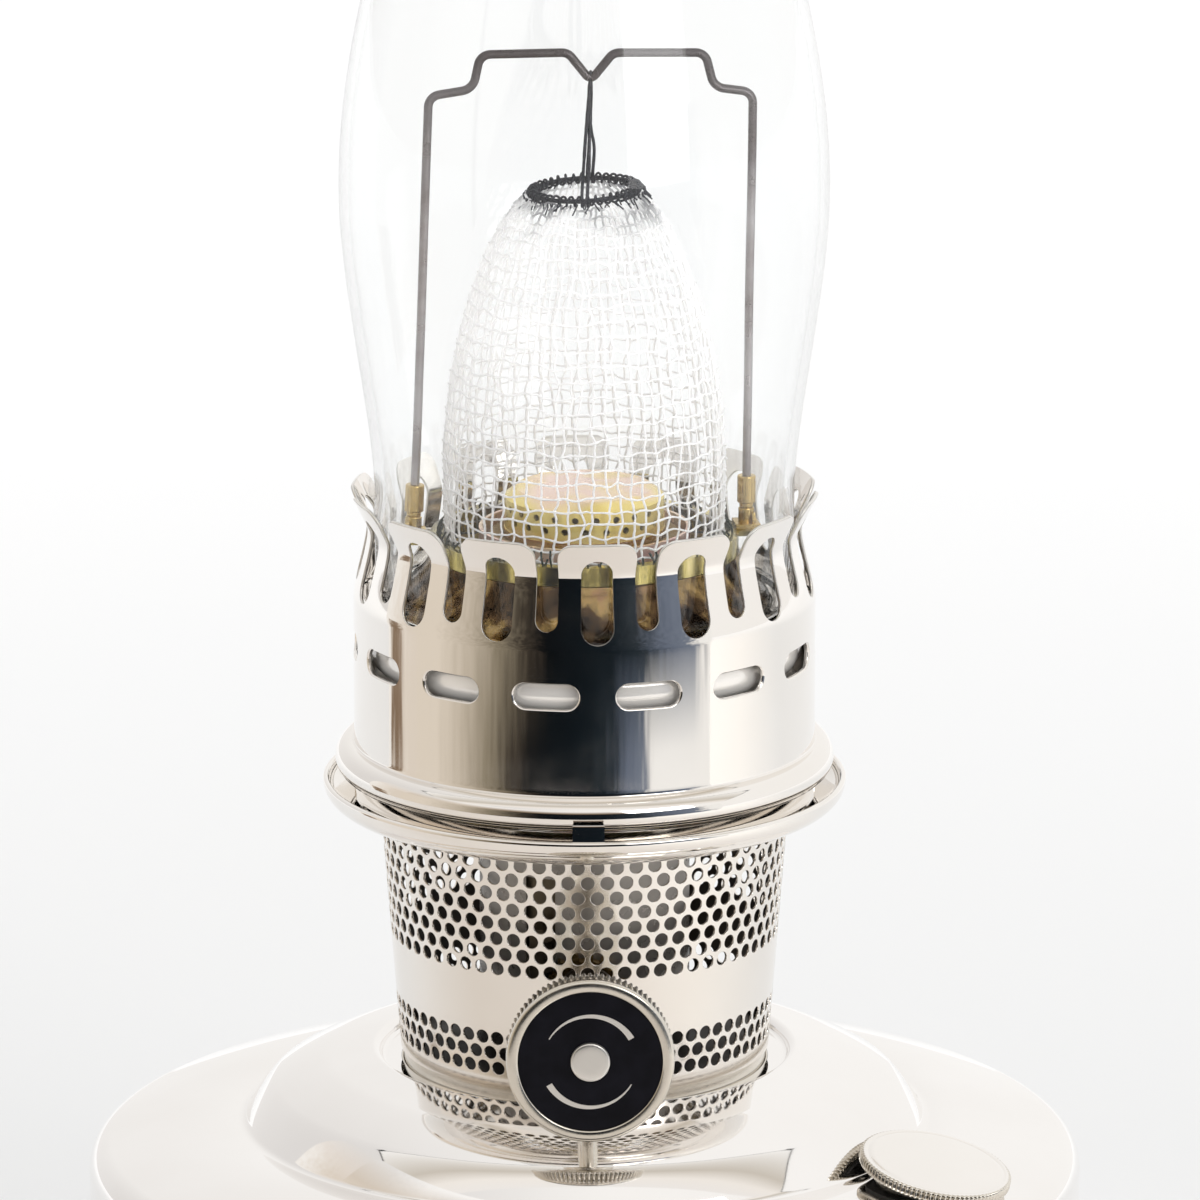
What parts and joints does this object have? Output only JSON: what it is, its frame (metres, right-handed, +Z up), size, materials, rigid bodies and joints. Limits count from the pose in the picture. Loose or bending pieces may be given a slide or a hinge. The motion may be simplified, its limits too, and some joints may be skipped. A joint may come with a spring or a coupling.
{
  "type": "shelf oil lamp",
  "caption": "Free-standing kerosene lamp: round metal font with a screw filler, perforated round-wick burner with a raiser knob, fingered gallery, mantle on a wire frame and tall glass chimney.",
  "frame": {"origin": "middle of the font's foot, on the surface that the lamp stands on", "axes": "+Z up along the lamp's axis, -Y towards the wick knob, +X to the right as the knob is faced"},
  "size_m": [0.1596, 0.1596, 0.478],
  "materials": {
    "nickel": "polished",
    "brass": "satin",
    "aged_brass": "satin",
    "seal": "matte",
    "cotton": "matte",
    "black_enamel": "gloss",
    "wire": "satin",
    "cord": "matte",
    "mantle_net": "matte",
    "glass": "clear"
  },
  "bodies": {
    "lamp_base": {"font_shell": "nickel", "font_base": "nickel", "font_collar": "nickel", "filler_neck": "nickel", "burner_base": "nickel", "burner_basket": "nickel", "burner_dish": "nickel", "outer_wick_tube": "brass", "inner_wick_tube": "brass", "front_duct": "brass", "back_duct": "brass", "flame_spreader": "brass", "spindle_bush": "nickel", "spindle_bracket": "brass"},
    "cap_seal": {"cap_gasket": "seal"},
    "cap": {"filler_cap": "nickel"},
    "wick_lift": {"wick_carrier": "brass", "wick": "cotton"},
    "wick_knob": {"raiser_spindle": "nickel", "raiser_pinion": "brass", "knob": "nickel", "knob_inlay": "black_enamel", "knob_stud": "nickel"},
    "gallery": {"gallery": "nickel", "gallery_cone": "nickel", "chimney_seat": "nickel", "mantle_ring": "aged_brass", "left_clip": "brass", "right_clip": "brass", "mantle_frame": "wire", "mantle_hanger": "cord", "mantle_crown": "cord", "mantle": "mantle_net"},
    "chimney": {"chimney": "glass"}
  },
  "joints": [
    {"name": "knob_turn", "type": "hinge", "parent": "lamp_base", "child": "wick_knob", "pos_m": [0, -0.04, 0.1001], "axis": [0, 1, 0], "range_deg": [-60, 60]},
    {"name": "wick_slide", "type": "slide", "parent": "lamp_base", "child": "wick_lift", "axis": [0, 0, 1], "range_m": [-0.0063, 0.0063]},
    {"name": "gallery_twist", "type": "hinge", "parent": "lamp_base", "child": "gallery", "pos_m": [0, 0, 0.131], "axis": [0, 0, 1], "range_deg": [0, 20]},
    {"name": "chimney_lift", "type": "slide", "parent": "gallery", "child": "chimney", "axis": [0, 0, 1], "range_m": [0, 0.12]},
    {"name": "cap_lift", "type": "slide", "parent": "lamp_base", "child": "cap_seal", "axis": [0.1908, -0.1192, 0.9744], "range_m": [0, 0.0081]},
    {"name": "cap_turn", "type": "hinge", "parent": "cap_seal", "child": "cap", "pos_m": [0.05453, -0.03407, 0.07315], "axis": [0.1908, -0.1192, 0.9744], "range_deg": [0, 1800]}
  ],
  "couplings": [
    {"joint": "wick_slide", "follows": "knob_turn", "m_per_rad": 0.006},
    {"joint": "cap_lift", "follows": "cap_turn", "m_per_rad": 0.00025465}
  ]
}
